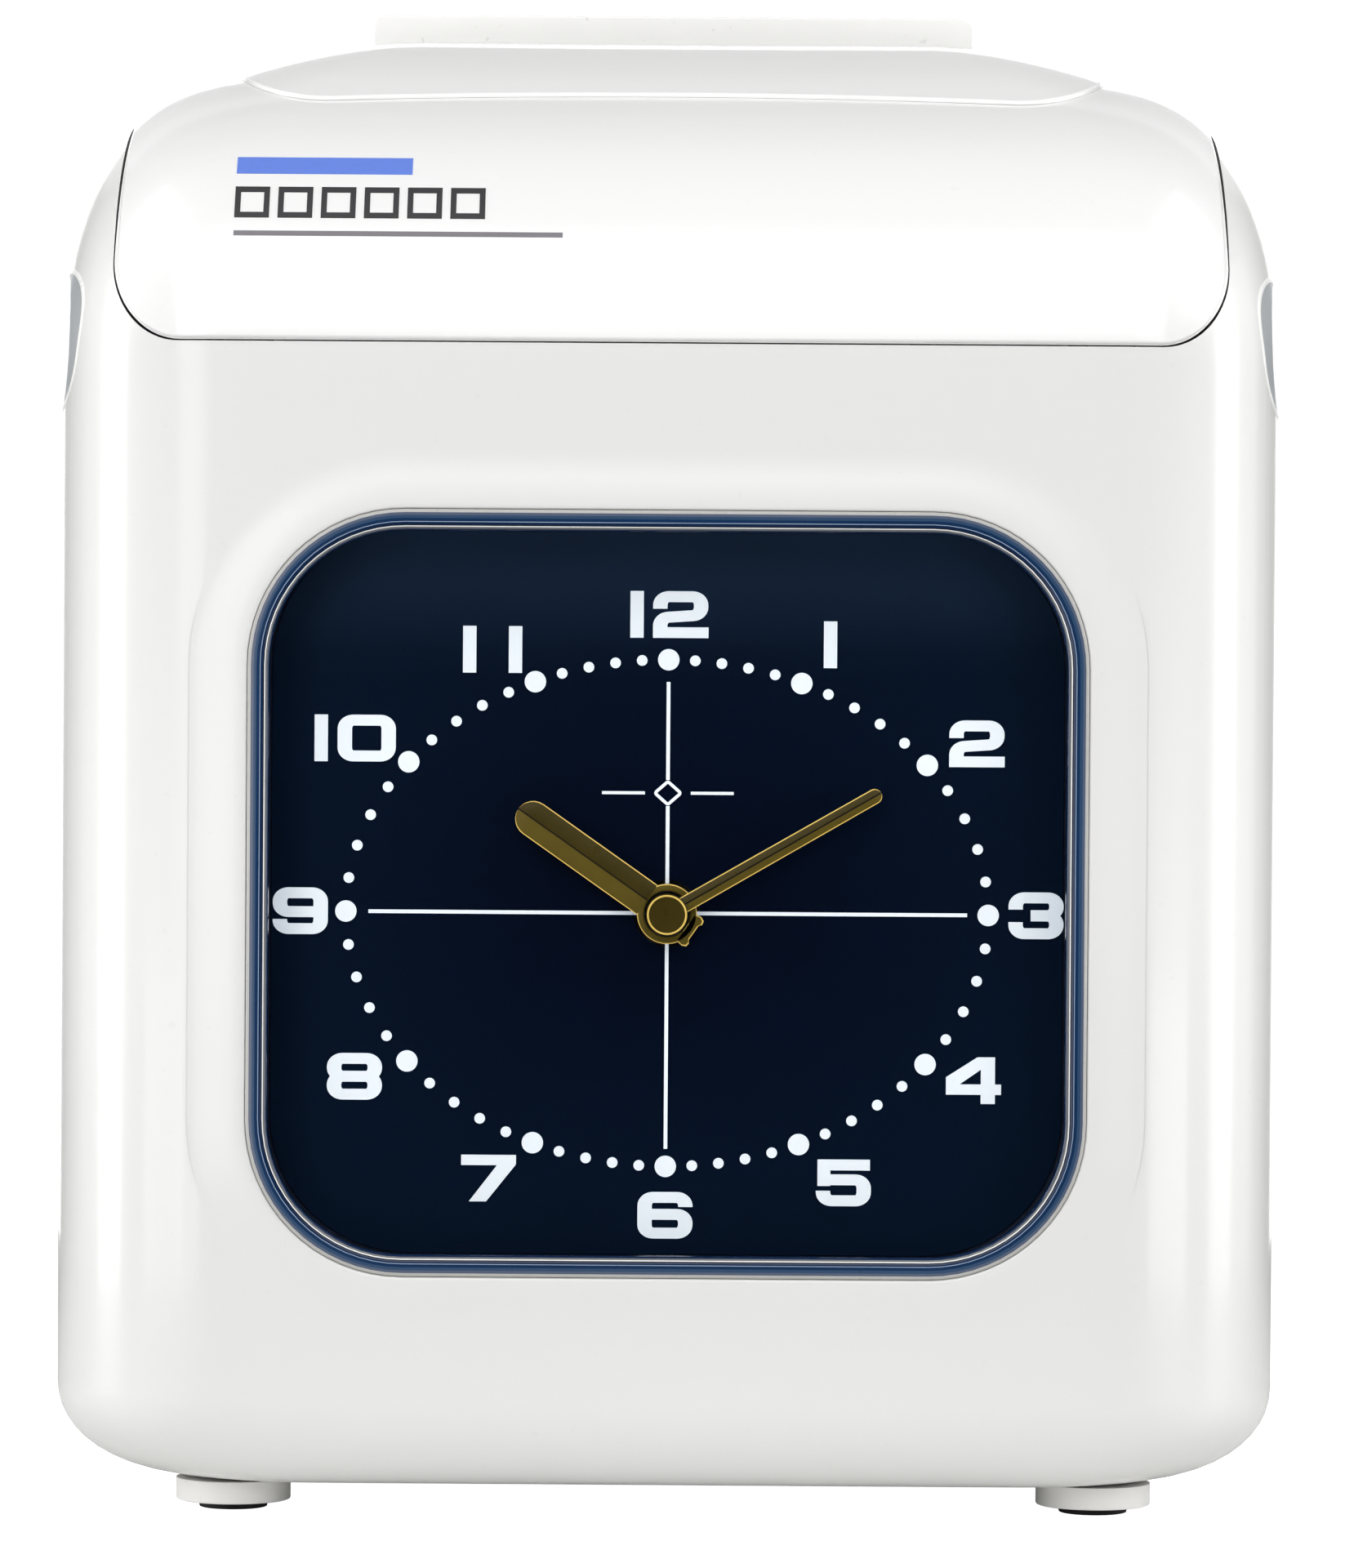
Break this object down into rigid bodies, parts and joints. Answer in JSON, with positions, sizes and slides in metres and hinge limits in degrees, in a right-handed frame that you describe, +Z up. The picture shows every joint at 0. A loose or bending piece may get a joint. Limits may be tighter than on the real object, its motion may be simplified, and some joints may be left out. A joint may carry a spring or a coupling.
{
  "type": "punch time clock",
  "caption": "White desktop punch time clock with a square navy analogue dial, gold hands, a hinged top cover with a card slot, and a card printer inside",
  "frame": {"origin": "middle of the footprint box, on the surface the clock stands on", "axes": "+Z up, -Y towards the person reading the dial, +X to that person's right"},
  "size_m": [0.1608, 0.134, 0.202],
  "materials": {
    "housing_plastic": "glossy warm white moulding",
    "guide_plastic": "satin off-white",
    "foot_plastic": "satin grey-white",
    "pad_rubber": "matte black",
    "lens_plastic": "clear polished acrylic",
    "navy_plastic": "glossy navy",
    "dial_paint": "satin navy print with pale numerals",
    "hand_gold": "polished dark gold",
    "dish_plastic": "satin pale grey",
    "button_plastic": "satin pale grey",
    "zinc_steel": "zinc plated",
    "dark_steel": "ground shaft",
    "inner_plastic": "matte dark grey moulding",
    "black_plastic": "fine-grained black",
    "platen_rubber": "matte grey-black",
    "roller_rubber": "matte grey-black on a steel shaft",
    "ribbon_fabric": "inked woven tape",
    "circuit_board": "green solder mask",
    "battery_sleeve": "shrink sleeve",
    "motor_steel": "dark coated can",
    "transformer_steel": "varnished laminations"
  },
  "bodies": {
    "case": {"front_housing": "housing_plastic", "rear_housing": "housing_plastic", "clock_lens": "lens_plastic", "dial_tray": "navy_plastic", "dial_plate": "dial_paint", "clock_movement": "black_plastic", "button_bezel_left": "dish_plastic", "button_bezel_right": "dish_plastic", "chassis": "zinc_steel", "mechanism_plate": "zinc_steel", "card_channel_front": "inner_plastic", "card_channel_rear": "inner_plastic", "card_stop": "inner_plastic", "platen": "platen_rubber", "carriage_rail_front": "dark_steel", "carriage_rail_rear": "dark_steel", "carriage_motor": "motor_steel", "timing_belt": "platen_rubber", "ribbon_cassette": "black_plastic", "ink_ribbon": "ribbon_fabric", "feed_motor": "motor_steel", "main_board": "circuit_board", "transformer": "transformer_steel", "backup_battery": "battery_sleeve", "cord_gland": "pad_rubber", "key_panel": "inner_plastic", "hinge_pin_left": "dark_steel", "hinge_pin_right": "dark_steel", "case_screw_1": "zinc_steel", "case_screw_2": "zinc_steel", "case_screw_3": "zinc_steel", "case_screw_4": "zinc_steel", "foot_front_left": "foot_plastic", "foot_pad_front_left": "pad_rubber", "foot_front_right": "foot_plastic", "foot_pad_front_right": "pad_rubber", "foot_rear_left": "foot_plastic", "foot_pad_rear_left": "pad_rubber", "foot_rear_right": "foot_plastic", "foot_pad_rear_right": "pad_rubber"},
    "cover": {"top_cover": "housing_plastic", "slot_bezel": "housing_plastic", "card_guide": "guide_plastic"},
    "minute": {"minute_hand": "hand_gold", "hand_cap": "hand_gold"},
    "hour": {"hour_hand": "hand_gold"},
    "button_left": {"release_button_left": "button_plastic"},
    "button_right": {"release_button_right": "button_plastic"},
    "carriage": {"print_carriage": "inner_plastic", "print_head": "black_plastic"},
    "drive_pulley": {"drive_pulley": "inner_plastic"},
    "idler_pulley": {"idler_pulley": "inner_plastic"},
    "feed_shaft": {"feed_roller": "roller_rubber", "feed_gear": "inner_plastic"},
    "motor_pinion": {"motor_pinion": "inner_plastic"},
    "pinch_roller": {"pinch_roller": "dark_steel"},
    "key_1": {"setting_key_1": "button_plastic"},
    "key_2": {"setting_key_2": "button_plastic"},
    "key_3": {"setting_key_3": "button_plastic"}
  },
  "joints": [
    {"name": "cover_hinge", "type": "hinge", "parent": "case", "child": "cover", "pos_m": [0, 0.046, 0.1907], "axis": [-1, 0, 0], "range_deg": [0, 75]},
    {"name": "minute_turn", "type": "hinge", "parent": "case", "child": "minute", "pos_m": [0, -0.0552, 0.0789], "axis": [0, 1, 0], "continuous": true},
    {"name": "hour_turn", "type": "hinge", "parent": "case", "child": "hour", "pos_m": [0, -0.0552, 0.0789], "axis": [0, 1, 0], "continuous": true},
    {"name": "button_left_press", "type": "slide", "parent": "case", "child": "button_left", "axis": [1, 0, 0], "range_m": [0, 0.0018], "stiffness_N_per_m": 400},
    {"name": "button_right_press", "type": "slide", "parent": "case", "child": "button_right", "axis": [-1, 0, 0], "range_m": [0, 0.0018], "stiffness_N_per_m": 400},
    {"name": "carriage_slide", "type": "slide", "parent": "case", "child": "carriage", "axis": [1, 0, 0], "range_m": [-0.027, 0.027]},
    {"name": "drive_pulley_turn", "type": "hinge", "parent": "case", "child": "drive_pulley", "pos_m": [-0.04, -0.0263, 0.147], "axis": [0, 1, 0], "range_deg": [-270, 270]},
    {"name": "idler_pulley_turn", "type": "hinge", "parent": "case", "child": "idler_pulley", "pos_m": [0.04, -0.0263, 0.147], "axis": [0, 1, 0], "range_deg": [-270, 270]},
    {"name": "feed_turn", "type": "hinge", "parent": "case", "child": "feed_shaft", "pos_m": [0, -0.0017, 0.121], "axis": [1, 0, 0], "continuous": true},
    {"name": "pinion_turn", "type": "hinge", "parent": "case", "child": "motor_pinion", "pos_m": [0.0538, -0.01443, 0.10827], "axis": [1, 0, 0], "continuous": true},
    {"name": "pinch_turn", "type": "hinge", "parent": "case", "child": "pinch_roller", "pos_m": [0, 0.014, 0.121], "axis": [1, 0, 0], "continuous": true},
    {"name": "key_1_press", "type": "slide", "parent": "case", "child": "key_1", "axis": [0, 0, -1], "range_m": [0, 0.0012], "stiffness_N_per_m": 300},
    {"name": "key_2_press", "type": "slide", "parent": "case", "child": "key_2", "axis": [0, 0, -1], "range_m": [0, 0.0012], "stiffness_N_per_m": 300},
    {"name": "key_3_press", "type": "slide", "parent": "case", "child": "key_3", "axis": [0, 0, -1], "range_m": [0, 0.0012], "stiffness_N_per_m": 300}
  ],
  "couplings": [
    {"joint": "hour_turn", "follows": "minute_turn", "ratio": 0.083333},
    {"joint": "drive_pulley_turn", "follows": "carriage_slide", "rad_per_m": 172.41},
    {"joint": "idler_pulley_turn", "follows": "carriage_slide", "rad_per_m": 172.41},
    {"joint": "pinion_turn", "follows": "feed_turn", "ratio": -2},
    {"joint": "pinch_turn", "follows": "feed_turn", "ratio": -1.5}
  ]
}
